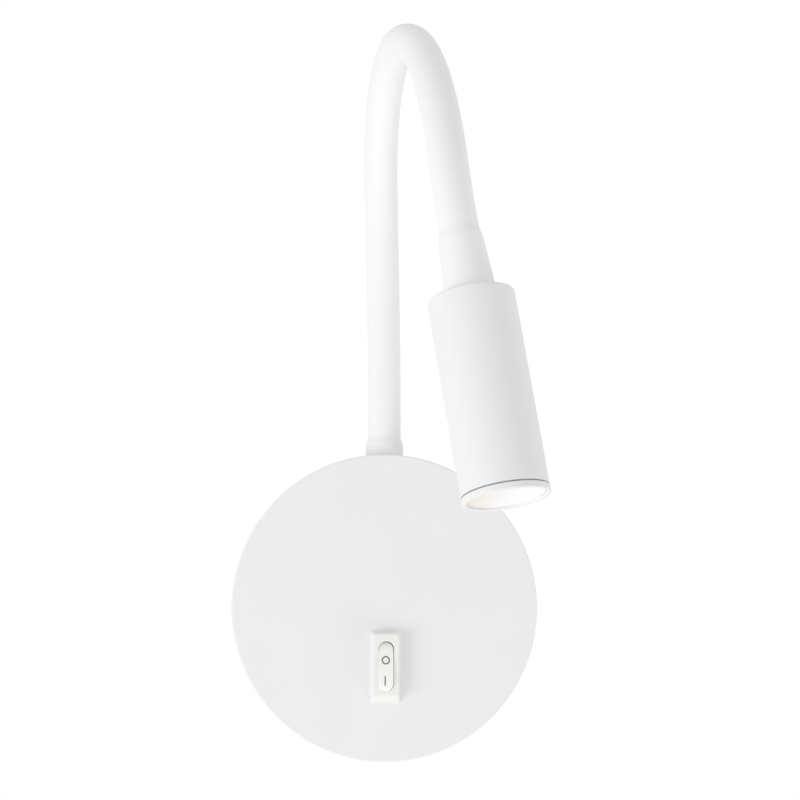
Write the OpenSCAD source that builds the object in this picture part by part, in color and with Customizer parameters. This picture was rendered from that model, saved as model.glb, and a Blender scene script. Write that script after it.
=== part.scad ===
// Wall light: a round canopy with a rocker switch carries a bendable neck and a cylindrical LED head.
// Millimetres. The wall is the plane y = 0, the light faces -Y, +Z is up, the origin is on the wall
// behind the middle of the canopy.

/* [Canopy] */
// Diameter of the canopy
canopy_d = 120; // [116:1:150]
// How far the canopy stands out from the wall
canopy_depth = 25; // [24:0.5:36]
// Sheet thickness of the canopy
canopy_wall = 1.2; // [0.8:0.1:1.6]
// Outside radius of the canopy's front edge
canopy_edge_r = 0.6; // [0.4:0.1:1.2]

/* [Wall plate] */
// Thickness of the wall plate
plate_t = 1.5; // [1:0.1:2]
// Room between the wall plate's edge and the inside of the canopy
plate_room = 4.8; // [4:0.2:6]
// Distance between the two wall screw slots
wall_slot_spacing = 68; // [64:1:72]
// Width of a wall screw slot
wall_slot_w = 5; // [4:0.5:6]
// Length of a wall screw slot, end to end
wall_slot_len = 10; // [8:0.5:12]
// Bore of the cable grommet
grommet_bore = 12; // [8:0.5:13]
// Thread diameter of the two canopy set screws
set_screw_d = 4; // [3:0.5:5]

/* [Neck] */
// Distance of the neck's foot from the wall
neck_out = 13; // [12.5:0.25:14]
// Outside diameter of the neck's sleeve
neck_d = 13; // [13:0.25:14]
// Wall of the neck's sleeve
sleeve_wall = 1; // [0.8:0.1:1.1]
// Length of one neck link, measured along its curve
link_len = 26; // [25:0.5:30]
// Forward bend of the most bent link, in degrees
crown_bend = 20.5; // [15:0.5:22]
// Where along the neck the bend is strongest, counted in links from the foot
crown_at = 4.5; // [4:0.25:5]
// How many links the bend takes to build up below the crown
rise_spread = 2.9; // [2.4:0.1:3.2]
// How many links the bend takes to fade beyond the crown
fall_spread = 8.4; // [6:0.1:9]
// Sideways lean of each riser link, in degrees, to the right when positive
riser_lean = -1; // [-3:0.5:3]
// Sideways lean of each crown link, in degrees
crown_lean = 2; // [-3:0.5:3]
// Sideways lean of the last link, in degrees
head_lean = 5.5; // [-6:0.5:6]

/* [Collars] */
// Diameter of the collar where the neck leaves the canopy
lower_collar_d = 15; // [14.5:0.1:18]
// Height of that collar
lower_collar_h = 8; // [7:0.5:12]
// Length over which that collar flares out from the neck
lower_flare = 3; // [2.5:0.25:4.5]
// Diameter of the collar at the head, at its neck end
upper_collar_d1 = 14.4; // [14:0.1:15.5]
// Diameter of the collar at the head, at its head end
upper_collar_d2 = 17.2; // [16:0.1:19]
// Length of the collar at the head
upper_collar_h = 24; // [18:0.5:28]
// Length over which the collar at the head flares out from the neck
upper_flare = 4.25; // [3:0.25:6]

/* [Head] */
// Diameter of the lamp head
head_d = 28; // [28:0.5:34]
// Length of the lamp head down to the shadow gap
head_len = 64.5; // [62:0.5:80]
// Wall of the lamp head
head_wall = 1.5; // [1:0.1:1.8]
// Thickness of the head's closed top
head_top = 3; // [2:0.25:4]
// Outside radius of the head's top edge
head_edge_r = 1.2; // [0.5:0.1:2]
// Height of the front ring beyond the shadow gap
ring_h = 2; // [1.6:0.1:3]
// Shadow gap between the head and its front ring
ring_gap = 0.6; // [0.3:0.1:1]
// Thickness of the lens
lens_t = 0.8; // [0.6:0.1:1]

/* [Switch] */
// Height of the switch's centre below the canopy's centre
switch_drop = 23; // [22:0.5:26]
// Width of the switch bezel at its foot
bezel_w = 12; // [12:0.25:14]
// Height of the switch bezel at its foot
bezel_h = 28; // [27.5:0.5:32]
// How far the bezel stands out from the canopy
bezel_out = 5; // [4.5:0.25:6]
// How far the bezel's sides and top lean in towards its front
bezel_taper = 1; // [0.5:0.1:1.2]
// How far the bezel's lower side leans in towards its front
bezel_chin = 3; // [1:0.25:3]
// How far the bezel's middle lies below the rocker's pivot
bezel_low = 0.4; // [0:0.1:0.5]
// Width of the rocker
rocker_w = 6.1; // [5.8:0.1:6.3]
// Length of the rocker
rocker_h = 19.1; // [18.6:0.1:19.4]
// How far the rocker's crown stands out of the bezel
rocker_out = 0.8; // [0.4:0.1:1]
// Tilt of the rocker each way, in degrees
rocker_tilt = 6; // [4:0.5:7]
// Gap round the rocker
rocker_gap = 0.35; // [0.3:0.05:0.4]

/* [Driver] */
// Width of the LED driver
driver_w = 24; // [20:1:26]
// Length of the LED driver
driver_h = 42; // [36:1:44]
// Depth of the LED driver
driver_t = 16; // [12:0.5:17]

/* [Hidden] */
$fn = 64;
neck_links = 12;

// Clearances: a seated part, a screw or plug in its hole, and a running pin
seat = 0.05;
slip = 0.2;
running = 0.05;
// How far a cutter reaches past what it cuts, and one solid into the next that it joins
past = 1;

// Canopy and wall plate
canopy_r = canopy_d / 2;
canopy_in_r = canopy_r - canopy_wall;
face_y = -canopy_depth;
plate_r = canopy_in_r - plate_room;
tab_w = 10;
tab_t = 1.5;
tab_h = 10.5;
tab_root = 4;
tab_room = 0.9;
tab_x = canopy_in_r - tab_room;
set_screw_r = set_screw_d / 2;
set_screw_y = -7;
set_screw_len = 6.6;
set_screw_sunk = 0.3;
socket_af = 2;
socket_deep = 1.8;

// Cable grommet
grommet_wall = 1.9;
grommet_lip = 1.6;
grommet_lip_t = 1.2;
grommet_r = grommet_bore / 2;
grommet_hole_r = grommet_r + grommet_wall + seat;

// Neck: a ball at the top of each link turns in a socket at the foot of the next
neck_r = neck_d / 2;
sleeve_in_r = neck_r - sleeve_wall;
core_room = 0.3;
core_r = sleeve_in_r - core_room;
socket_wall = 0.9;
socket_r = core_r - socket_wall;
ball_room = 0.1;
ball_r = socket_r - ball_room;
lip_angle = 15;
socket_lip = socket_r * sin(lip_angle);
cup_floor = 0.8;
cup_len = socket_r + cup_floor;
core_waist = 0.6;
shoulder_room = 0.6;
shoulder = ball_r + shoulder_room;
stem_r = 2.5;
lead_bore_r = 1.9;
mouth_r = lead_bore_r + seat;
flare = 0.35;
riser_links = 4;
crown_links = 8;
neck_z = canopy_r + lower_collar_h;
flare_z = neck_z - lower_flare;
tail_len = 6;
sleeve_gap = 0.05;
least_turn = 0.01;

// Threaded fittings at both ends of the neck
thread_r = 4.9;
lead_way_r = 2.4;
nut_af = 14;
nut_t = 4;
nut_r = nut_af / 2 / cos(30);
washer_r = 8;
washer_t = 0.8;
washer_top = sqrt(pow(canopy_in_r, 2) - pow(washer_r, 2)) - seat;
thread_over = 2;
thread_foot = washer_top - washer_t - nut_t - thread_over;
head_thread_over = 1;

// Head, along its own axis from the end of the neck
head_r = head_d / 2;
head_in_r = head_r - head_wall;
head_z = upper_collar_h;
head_end = head_z + head_len;
ring_z = head_end + ring_gap;
head_nut_z = head_z + head_top;
ring_spigot = 6;
spigot_room = 0.1;
ring_spigot_r = head_in_r - spigot_room;
ring_spigot_t = 1;
ring_lip = 1.5;
lens_r = head_r - ring_lip;
lens_ledge = 0.4;
lens_z = ring_z + lens_ledge;
sink_room = 3;
sink_z = head_nut_z + nut_t + sink_room;
led_throw = 20;
sink_end = head_end - led_throw;
sink_r = head_in_r - slip;
sink_fins = 12;
sink_slot = 1.5;
sink_slot_deep = 4;
board_r = 10;
board_t = 1.6;
chip = 3.5;
chip_t = 0.8;
dome_r = 1.6;
led_screw_at = 7.5;
led_screw_r = 1.25;
led_screw_head_r = 2.2;
led_screw_head_t = 1.6;
led_screw_len = 7;
led_screw_room = 1;
sink_foot = led_screw_len + led_screw_room;

// Switch, with the rocker's pivot as its own centre
switch_z = -switch_drop;
bezel_front = face_y - bezel_out;
pivot_deep = 2.4;
pivot_y = bezel_front + pivot_deep;
crown = pivot_deep + rocker_out;
crown_r = 60;
rocker_back = 1.6;
rocker_trim = 0.2;
rocker_trim_r = rocker_h / 2 + rocker_trim;
pin_r = 0.75;
pin_len = 9.6;
pin_room = 0.1;
stem_w = 2.4;
stem_back = 6;
plunger_r = 0.75;
plunger_room = 0.1;
plunger_bore_r = plunger_r + plunger_room;
plunger_from = 3.8;
plunger_to = 7.2;
spring_in_r = 0.45;
spring_from = 2.3;
lever_w = 3;
lever_h = 13;
lever_t = 0.6;
lever_room = 0.3;
lever_front = plunger_to + plunger_r + lever_room;
lever_tilt = rocker_tilt / 2;
lever_axis = lever_front + lever_t / 2;
blade_t = 0.8;
blade_h = 3;
blade_end = 21;
load_at = 6;
pivot_blade_room = 0.35;
load_blade_room = 0.6;
pivot_blade_from = lever_front + lever_t + pivot_blade_room;
load_blade_from = lever_front + lever_t + load_blade_room;
body_w = 9.2;
body_h = 22.6;
body_back = 15.6;
body_wall = 1.2;
well_w = 6.9;
well_h = 20;
well_from = 2;
bezel_corner = 1;
slab_t = 0.1;

// Driver, terminal block and earth point on the wall plate
driver_rim = 9;
driver_x = driver_rim + driver_w / 2 - plate_r;
lug_w = 10;
lug_h = 7;
lug_t = 1.5;
lug_at = (driver_h + lug_h) / 2;
screw_r = 1.5;
screw_head_r = 2.8;
screw_head_t = 1.8;
screw_slot = 0.6;
block_rim = 18;
block_w = 12;
block_x = plate_r - block_rim - block_w / 2;
block_h = 24;
block_t = 12;
block_pitch = 8;
block_way_y = -7;
block_way_r = 1.6;
block_screw_at = 3.5;
block_screw_r = 1.5;
block_screw_h = 3;
earth_x = 14;
earth_z = 26;
earth_screw_r = 2;
earth_head_r = 3.6;
earth_head_t = 2.4;
tag_r = 4;
tag_t = 0.8;
tag_tail = 7;

// Wires, by the points that they pass
wire_r = 1;
lead_r = 1.5;
wire_sides = 8;
lead_steps = 4;
first_side = [0.3, 1, 0.2];
corner_cut = 0.25;
wire_in_block = 2;
wire_from_block_x = block_x - block_w / 2 + wire_in_block;
driver_side = driver_x + driver_w / 2 + seat;
wire_run = 6;
off_block_x = wire_from_block_x - wire_run;
off_driver_x = driver_side + wire_run;
wire_on_blade = 2;
blade_y = pivot_y + blade_end - wire_on_blade;
wire_room = 0.3;
wire_end_x = blade_t / 2 + wire_room;
wire_lift = 0.1;
tag_wire_y = -plate_t - tag_t - wire_r - wire_lift;
live_route = [[wire_from_block_x, block_way_y, -block_pitch], [off_block_x, block_way_y, -block_pitch],
  [off_block_x - wire_run, -7.5, -11], [8, -8, -17], [4, blade_y, switch_z + wire_r],
  [wire_end_x, blade_y, switch_z]];
switched_route = [[-wire_end_x, blade_y, switch_z + load_at], [-5, blade_y, switch_z + load_at],
  [-9, -9, -14], [off_driver_x, -10, -10], [driver_side, -10, -10]];
neutral_route = [[wire_from_block_x, block_way_y, 0], [off_block_x, block_way_y, 0],
  [off_block_x - wire_run, -8, 5], [8, -9, 10], [0, -9.5, 12], [-7, -9.5, 10], [off_driver_x, -10, 4],
  [driver_side, -10, 4]];
earth_route = [[wire_from_block_x, block_way_y, block_pitch], [off_block_x, block_way_y, block_pitch],
  [off_block_x - wire_run / 2, -6.5, 11], [earth_x, -4.5, 15], [earth_x, tag_wire_y, 19],
  [earth_x, tag_wire_y, 20.5]];
lead_low_route = [[driver_side, -10, 14], [off_driver_x, -10, 14], [-8, -12, 23], [-3, -neck_out, 33],
  [0, -neck_out, 43], [0, -neck_out, thread_foot], [0, -neck_out, canopy_r]];

// How much link i bends forward and leans sideways, its whole turn and the direction of it
function spread_at(i) = i < crown_at ? rise_spread : fall_spread;
function bend_of(i) = crown_bend * exp(-pow((i - crown_at) / spread_at(i), 2));
function lean_of(i) = i < riser_links ? riser_lean : i < crown_links ? crown_lean
  : i < neck_links - 1 ? 0 : head_lean;
function turn_of(i) = max(least_turn, norm([bend_of(i), lean_of(i)]));
function plane_of(i) = atan2(lean_of(i), bend_of(i));
function arc_r(i) = link_len * 180 / (PI * turn_of(i));

// Frame of the neck at the foot of link i, and the step from there along its arc
function spin(a) = [[cos(a), -sin(a), 0, 0], [sin(a), cos(a), 0, 0], [0, 0, 1, 0], [0, 0, 0, 1]];
function arc(r, a) = [[1, 0, 0, 0], [0, cos(a), -sin(a), r * (cos(a) - 1)], [0, sin(a), cos(a), r * sin(a)],
  [0, 0, 0, 1]];
function step(i, share) = spin(plane_of(i)) * arc(arc_r(i), turn_of(i) * share) * spin(-plane_of(i));
function foot() = [[1, 0, 0, 0], [0, 1, 0, -neck_out], [0, 0, 1, neck_z], [0, 0, 0, 1]];
function frame_at(i) = i == 0 ? foot() : frame_at(i - 1) * step(i - 1, 1);
function spot(m) = [m[0][3], m[1][3], m[2][3]];
function along_head(z) = spot(frame_at(neck_links)) + z * [for (row = [0 : 2]) frame_at(neck_links)[row][2]];

// A round tube swept along points, its rings turned as little as possible from one to the next
function unit(v) = v / norm(v);
function way(p, i) = unit(p[min(i + 1, len(p) - 1)] - p[max(i - 1, 0)]);
function square_to(v, t) = unit(v - t * (v * t));
function rings(p, r, n) = [for (i = 0, u = square_to(first_side, way(p, 0)); i < len(p); i = i + 1,
  u = square_to(u, way(p, min(i, len(p) - 1)))) [for (k = [0 : n - 1])
  p[i] + r * (u * cos(k * 360 / n) + cross(way(p, i), u) * sin(k * 360 / n))]];
module tube(p, r, n) {
  last = len(p) - 1;
  points = [for (ring = rings(p, r, n)) each ring];
  walls = [for (i = [0 : last - 1], k = [0 : n - 1]) let (a = i * n + k, b = i * n + (k + 1) % n)
    each [[a, a + n, b], [b, a + n, b + n]]];
  ends = [for (k = [1 : n - 2]) each [[0, k, k + 1], [last * n, last * n + k + 1, last * n + k]]];
  polyhedron(points, concat(walls, ends), convexity = 4);
}

// Points of a route, rounded by cutting its corners twice
function between(a, b, share) = a + share * (b - a);
function cut(p) = [p[0], for (i = [0 : len(p) - 2]) each [between(p[i], p[i + 1], corner_cut),
  between(p[i + 1], p[i], corner_cut)], p[len(p) - 1]];
module wire(route, r) {
  tube(cut(cut(route)), r, wire_sides);
}

// Places
module at_link(i) {
  multmatrix(frame_at(i)) children();
}
module at_head() {
  at_link(neck_links) children();
}
module from_wall(x, z) {
  translate([x, 0, z]) rotate([90, 0, 0]) children();
}
module through_plate(x, z) {
  from_wall(x, z) translate([0, 0, -past]) children();
}
module at_rocker(tilt) {
  translate([0, pivot_y, switch_z]) rotate([tilt, 0, 0]) children();
}
// Sweeps a flat shape along link i, from one share of its length to another
module along_link(i, from, to) {
  at_link(i) rotate([0, 0, plane_of(i)]) translate([0, -arc_r(i), 0]) rotate([90, 0, 90])
    rotate([0, 0, turn_of(i) * from]) rotate_extrude(angle = turn_of(i) * (to - from))
      translate([arc_r(i), 0]) children();
}

// Flat shapes and small parts that are used more than once
module rounded_disc_profile(r, h, edge) {
  square([r - edge, h]);
  square([r, h - edge]);
  translate([r - edge, h - edge]) circle(edge);
}
module stadium(w, h) {
  square([w, h - w], center = true);
  for (s = [-1, 1]) translate([0, s * (h - w) / 2]) circle(w / 2);
}
module hex_nut(bore_r) {
  difference() {
    cylinder(r = nut_r, h = nut_t, $fn = 6);
    translate([0, 0, -past]) cylinder(r = bore_r, h = nut_t + 2 * past);
  }
}
module pan_screw(r, length, head_r, head_t) {
  translate([0, 0, -length]) cylinder(r = r, h = length + head_t / 2);
  difference() {
    rotate_extrude() rounded_disc_profile(head_r, head_t, head_t / 3);
    translate([0, 0, head_t]) cube([2 * (head_r + past), screw_slot, head_t], center = true);
  }
}

// Canopy: a drawn steel cup with holes for the neck, the switch and the set screws
module canopy() {
  color("white") difference() {
    from_wall(0, 0) rotate_extrude() rounded_disc_profile(canopy_r, canopy_depth, canopy_edge_r);
    from_wall(0, 0) translate([0, 0, -past]) cylinder(r = canopy_in_r, h = canopy_depth - canopy_wall + past);
    translate([0, -neck_out, 0]) cylinder(r = thread_r + slip, h = canopy_r + past);
    translate([0, face_y, switch_z])
      cube([body_w + 2 * slip, 4 * canopy_wall, body_h + 2 * slip], center = true);
    for (s = [-1, 1]) translate([0, set_screw_y, 0]) rotate([0, s * 90, 0])
      cylinder(r = set_screw_r + slip, h = canopy_r + past);
  }
}
// Wall plate: a zinc plated disc with two bent tabs, wall slots and a cable hole
module backplate() {
  color("silver") difference() {
    union() {
      from_wall(0, 0) cylinder(r = plate_r, h = plate_t);
      for (s = [-1, 1]) scale([s, 1, 1]) {
        translate([plate_r - tab_root, -plate_t, -tab_w / 2])
          cube([tab_x - plate_r + tab_root, plate_t, tab_w]);
        translate([tab_x - tab_t, -plate_t - tab_h, -tab_w / 2]) cube([tab_t, plate_t + tab_h, tab_w]);
      }
    }
    through_plate(0, 0) cylinder(r = grommet_hole_r, h = plate_t + 2 * past);
    for (s = [-1, 1]) through_plate(0, s * wall_slot_spacing / 2)
      linear_extrude(plate_t + 2 * past) stadium(wall_slot_w, wall_slot_len);
    for (s = [-1, 1]) translate([0, set_screw_y, 0]) rotate([0, s * 90, 0])
      translate([0, 0, plate_r - tab_root]) cylinder(r = set_screw_r + running, h = canopy_r);
    through_plate(earth_x, earth_z) cylinder(r = earth_screw_r + running, h = plate_t + 2 * past);
    for (s = [-1, 1]) through_plate(driver_x, s * lug_at)
      cylinder(r = screw_r + running, h = plate_t + 2 * past);
  }
}
module cable_grommet() {
  color("dimgray") from_wall(0, 0) difference() {
    union() {
      cylinder(r = grommet_r + grommet_wall, h = plate_t + seat);
      translate([0, 0, plate_t]) cylinder(r = grommet_r + grommet_wall + grommet_lip, h = grommet_lip_t);
    }
    translate([0, 0, -past]) cylinder(r = grommet_r, h = plate_t + grommet_lip_t + 2 * past);
  }
}
// Two headless screws, sunk in the canopy's rim and threaded into the wall plate's tabs
module canopy_screws() {
  color("gray") for (s = [-1, 1]) translate([0, set_screw_y, 0]) rotate([0, s * 90, 0]) difference() {
    translate([0, 0, canopy_r - set_screw_sunk - set_screw_len]) cylinder(r = set_screw_r, h = set_screw_len);
    translate([0, 0, canopy_r - set_screw_sunk - socket_deep])
      cylinder(r = socket_af / 2 / cos(30), h = socket_deep + past, $fn = 6);
  }
}

// Neck foot: collar on the rim, threaded shank through it, washer and nut inside
module lower_ferrule() {
  color("white") translate([0, -neck_out, 0]) difference() {
    union() {
      difference() {
        union() {
          translate([0, 0, canopy_r - past]) cylinder(d = lower_collar_d, h = flare_z - canopy_r + past);
          translate([0, 0, flare_z]) cylinder(d1 = lower_collar_d, d2 = neck_d, h = lower_flare);
        }
        translate([0, neck_out, 0]) rotate([90, 0, 0]) translate([0, 0, -past])
          cylinder(r = canopy_r + seat, h = canopy_depth + 2 * past);
      }
      translate([0, 0, thread_foot]) cylinder(r = thread_r, h = canopy_r - thread_foot + past);
    }
    translate([0, 0, thread_foot - past]) cylinder(r = lead_way_r, h = neck_z);
    translate([0, 0, neck_z - tail_len - seat]) cylinder(r = core_r + seat, h = tail_len + past);
  }
}
module lock_washer() {
  color("silver") translate([0, -neck_out, washer_top - washer_t]) difference() {
    cylinder(r = washer_r, h = washer_t);
    translate([0, 0, -past]) cylinder(r = thread_r + slip, h = washer_t + 2 * past);
  }
}
module neck_nut() {
  color("silver") translate([0, -neck_out, washer_top - washer_t - nut_t]) hex_nut(thread_r + running);
}

// Neck link i: a socket at its foot, a waisted body and a ball at its top, bored for the lead
module neck_core(i) {
  first = i == 0;
  last = i == neck_links - 1;
  body_to = last ? 1 : 1 - shoulder / link_len;
  color("silver") difference() {
    union() {
      at_link(i) translate([0, 0, first ? -tail_len : -socket_lip])
        cylinder(r = core_r, h = cup_len + (first ? tail_len : socket_lip));
      along_link(i, cup_len / 2 / link_len, body_to) circle(core_r - core_waist);
      if (last) {
        at_head() translate([0, 0, -cup_len]) cylinder(r = core_r, h = cup_len + tail_len);
      } else {
        along_link(i, body_to - past / link_len, 1) circle(stem_r);
        at_link(i + 1) sphere(ball_r);
      }
    }
    along_link(i, 0, 1) circle(lead_bore_r);
    if (first) {
      at_link(i) translate([0, 0, -tail_len - past]) cylinder(r = mouth_r, h = tail_len + 2 * past);
    } else {
      at_link(i) sphere(socket_r);
    }
    at_link(i + 1) translate([0, 0, -past])
      cylinder(r1 = mouth_r - flare * past, r2 = mouth_r + flare * 2 * ball_r, h = 2 * ball_r + past);
  }
}
// Sleeve over link i, in moulded silicone
module neck_sleeve(i) {
  end = sleeve_gap / 2 / link_len;
  color("white") along_link(i, end, 1 - end) difference() {
    circle(neck_r);
    circle(sleeve_in_r);
  }
}
// The pair of LED wires in one jacket, from the driver through the neck to the LED board
module led_lead() {
  in_neck = [for (i = [0 : neck_links - 1], k = [0 : lead_steps - 1])
    spot(frame_at(i) * step(i, k / lead_steps))];
  in_head = [for (z = [0, tail_len, head_z, head_nut_z + nut_t, sink_z, sink_end - seat]) along_head(z)];
  color("ivory") tube(concat(cut(lead_low_route), in_neck, in_head), lead_r, wire_sides);
}

// Wired parts on the wall plate
module driver_case() {
  color("whitesmoke") difference() {
    union() {
      translate([driver_x - driver_w / 2, -plate_t - driver_t, -driver_h / 2])
        cube([driver_w, driver_t, driver_h]);
      translate([driver_x - lug_w / 2, -plate_t - lug_t, -driver_h / 2 - lug_h])
        cube([lug_w, lug_t, driver_h + 2 * lug_h]);
    }
    for (s = [-1, 1]) from_wall(driver_x, s * lug_at)
      cylinder(r = screw_r + slip, h = plate_t + lug_t + past);
  }
}
module driver_screws() {
  color("silver") for (s = [-1, 1]) from_wall(driver_x, s * lug_at)
    translate([0, 0, plate_t + lug_t]) pan_screw(screw_r, lug_t + plate_t, screw_head_r, screw_head_t);
}
module terminal_block() {
  color("white") difference() {
    translate([block_x - block_w / 2, -plate_t - block_t, -block_h / 2]) cube([block_w, block_t, block_h]);
    for (k = [-1 : 1]) {
      translate([block_x - block_w, block_way_y, k * block_pitch]) rotate([0, 90, 0])
        cylinder(r = block_way_r, h = 2 * block_w);
      for (s = [-1, 1]) from_wall(block_x + s * block_screw_at, k * block_pitch)
        translate([0, 0, -block_way_y]) cylinder(r = block_screw_r + running, h = block_t);
    }
  }
}
module terminal_screws() {
  color("goldenrod") for (k = [-1 : 1], s = [-1, 1]) from_wall(block_x + s * block_screw_at, k * block_pitch)
    difference() {
      translate([0, 0, block_way_r - block_way_y + seat]) cylinder(r = block_screw_r, h = block_screw_h);
      translate([0, 0, block_way_r - block_way_y + block_screw_h])
        cube([4 * block_screw_r, screw_slot, 2 * screw_slot], center = true);
    }
}
module earth_tag() {
  color("silver") from_wall(earth_x, earth_z) translate([0, 0, plate_t]) difference() {
    union() {
      cylinder(r = tag_r, h = tag_t);
      translate([-wire_r, -tag_tail, 0]) cube([2 * wire_r, tag_tail, tag_t]);
    }
    translate([0, 0, -past]) cylinder(r = earth_screw_r + slip, h = tag_t + 2 * past);
  }
}
module earth_screw() {
  color("silver") from_wall(earth_x, earth_z) translate([0, 0, plate_t + tag_t])
    pan_screw(earth_screw_r, plate_t + tag_t, earth_head_r, earth_head_t);
}
module earth_wire() {
  color("yellowgreen") wire(earth_route, wire_r);
}
module live_wire() {
  color("saddlebrown") wire(live_route, wire_r);
}
module switched_wire() {
  color("dimgray") wire(switched_route, wire_r);
}
module neutral_wire() {
  color("royalblue") wire(neutral_route, wire_r);
}

// Switch housing: a bezel that leans in on all sides, most at its foot, with a body behind the canopy's face
module bezel_slab(inset, chin) {
  corners = 2 * bezel_corner;
  linear_extrude(slab_t) translate([0, (chin - inset) / 2 - bezel_low]) offset(r = bezel_corner)
    square([bezel_w - 2 * inset - corners, bezel_h - inset - chin - corners], center = true);
}
module switch_housing() {
  color("ivory") difference() {
    union() {
      from_wall(0, switch_z) hull() {
        translate([0, 0, -face_y]) bezel_slab(0, 0, $fn = 32);
        translate([0, 0, -bezel_front - slab_t]) bezel_slab(bezel_taper, bezel_chin, $fn = 32);
      }
      translate([-body_w / 2, face_y - past, switch_z - body_h / 2])
        cube([body_w, pivot_y + body_back - face_y + past, body_h]);
    }
    from_wall(0, switch_z) translate([0, 0, -pivot_y - well_from - past])
      linear_extrude(bezel_out + well_from) stadium(rocker_w + 2 * rocker_gap, rocker_h + 2 * rocker_gap);
    at_rocker(0) translate([-well_w / 2, well_from, -well_h / 2])
      cube([well_w, body_back - body_wall - well_from, well_h]);
    at_rocker(0) rotate([0, 90, 0]) cylinder(r = pin_r + seat, h = pin_len + 2 * pin_room, center = true);
    for (z = [0, load_at]) at_rocker(0) translate([0, body_back, z])
      cube([blade_t + 2 * seat, 4 * body_wall, blade_h + 2 * seat], center = true);
  }
}
module pivot_pin() {
  color("silver") at_rocker(0) rotate([0, 90, 0]) cylinder(r = pin_r, h = pin_len, center = true);
}
module blade(from, z) {
  at_rocker(0) translate([-blade_t / 2, from, z - blade_h / 2]) cube([blade_t, blade_end - from, blade_h]);
}
module pivot_terminal() {
  color("goldenrod") blade(pivot_blade_from, 0);
}
module load_terminal() {
  color("goldenrod") blade(load_blade_from, load_at);
}
// Rocker: a face crowned along its length, the upper half pressed in at rest
module rocker() {
  color("ivory") at_rocker(-rocker_tilt) difference() {
    union() {
      intersection() {
        rotate([90, 0, 0]) translate([0, 0, -rocker_back]) linear_extrude(rocker_back + crown + past)
          stadium(rocker_w, rocker_h);
        translate([0, crown_r - crown, 0]) rotate([0, 90, 0])
          cylinder(r = crown_r, h = rocker_w + 2 * past, center = true);
        rotate([0, 90, 0]) cylinder(r = rocker_trim_r, h = rocker_w + 2 * past, center = true);
      }
      translate([-stem_w / 2, 0, -stem_w / 2]) cube([stem_w, stem_back, stem_w]);
    }
    rotate([0, 90, 0]) cylinder(r = pin_r + running + seat, h = rocker_w + 2 * past, center = true);
    rotate([-90, 0, 0]) translate([0, 0, spring_from - seat]) cylinder(r = plunger_bore_r, h = stem_back);
  }
}
module contact_plunger() {
  color("goldenrod") at_rocker(-rocker_tilt) rotate([-90, 0, 0]) {
    translate([0, 0, plunger_from]) cylinder(r = plunger_r, h = plunger_to - plunger_from);
    translate([0, 0, plunger_to]) sphere(plunger_r);
  }
}
module plunger_spring() {
  color("silver") at_rocker(-rocker_tilt) rotate([-90, 0, 0]) translate([0, 0, spring_from]) difference() {
    cylinder(r = plunger_r, h = plunger_from - spring_from - seat);
    translate([0, 0, -past]) cylinder(r = spring_in_r, h = plunger_from);
  }
}
// Contact lever: a see-saw on the pivot terminal that tips the other way from the rocker
module contact_lever() {
  color("goldenrod") translate([0, pivot_y + lever_axis, switch_z]) rotate([lever_tilt, 0, 0])
    cube([lever_w, lever_t, lever_h], center = true);
}

// Head parts, along the axis of the last link
module upper_ferrule() {
  shank = head_top + nut_t + head_thread_over;
  color("white") at_head() difference() {
    union() {
      cylinder(d1 = neck_d, d2 = upper_collar_d1, h = upper_flare);
      translate([0, 0, upper_flare])
        cylinder(d1 = upper_collar_d1, d2 = upper_collar_d2, h = upper_collar_h - upper_flare);
      translate([0, 0, upper_collar_h - past]) cylinder(r = thread_r, h = past + shank);
    }
    translate([0, 0, -past]) cylinder(r = core_r + seat, h = tail_len + seat + past);
    cylinder(r = lead_way_r, h = upper_collar_h + shank + past);
  }
}
module head_body() {
  color("white") at_head() difference() {
    translate([0, 0, head_end]) mirror([0, 0, 1]) rotate_extrude()
      rounded_disc_profile(head_r, head_len, head_edge_r);
    translate([0, 0, head_nut_z]) cylinder(r = head_in_r, h = head_len);
    cylinder(r = thread_r + seat, h = head_end);
  }
}
module head_nut() {
  color("silver") at_head() translate([0, 0, head_nut_z]) hex_nut(thread_r + running);
}
module heat_sink() {
  color("lightgray") at_head() difference() {
    translate([0, 0, sink_z]) cylinder(r = sink_r, h = sink_end - sink_z);
    cylinder(r = lead_way_r, h = head_end);
    for (k = [0 : sink_fins - 1]) rotate([0, 0, k * 360 / sink_fins])
      translate([sink_r - sink_slot_deep, -sink_slot / 2, sink_z - past])
        cube([sink_r, sink_slot, sink_end - sink_z - sink_foot + past]);
    for (s = [-1, 1]) translate([s * led_screw_at, 0, sink_end - led_screw_len])
      cylinder(r = led_screw_r + running, h = led_screw_len + past);
  }
}
module led_board() {
  color("white") at_head() translate([0, 0, sink_end]) difference() {
    cylinder(r = board_r, h = board_t);
    for (s = [-1, 1]) translate([s * led_screw_at, 0, -past])
      cylinder(r = led_screw_r + running, h = board_t + 2 * past);
  }
}
module led_emitter() {
  color("gold") at_head() translate([0, 0, sink_end + board_t]) {
    translate([-chip / 2, -chip / 2, 0]) cube([chip, chip, chip_t]);
    translate([0, 0, chip_t]) intersection() {
      sphere(dome_r);
      cylinder(r = chip, h = chip);
    }
  }
}
module led_screws() {
  color("silver") at_head() for (s = [-1, 1]) translate([s * led_screw_at, 0, sink_end + board_t])
    pan_screw(led_screw_r, led_screw_len - led_screw_room, led_screw_head_r, led_screw_head_t);
}
module lens() {
  color("ivory") at_head() translate([0, 0, lens_z]) cylinder(r = lens_r, h = lens_t);
}
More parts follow.
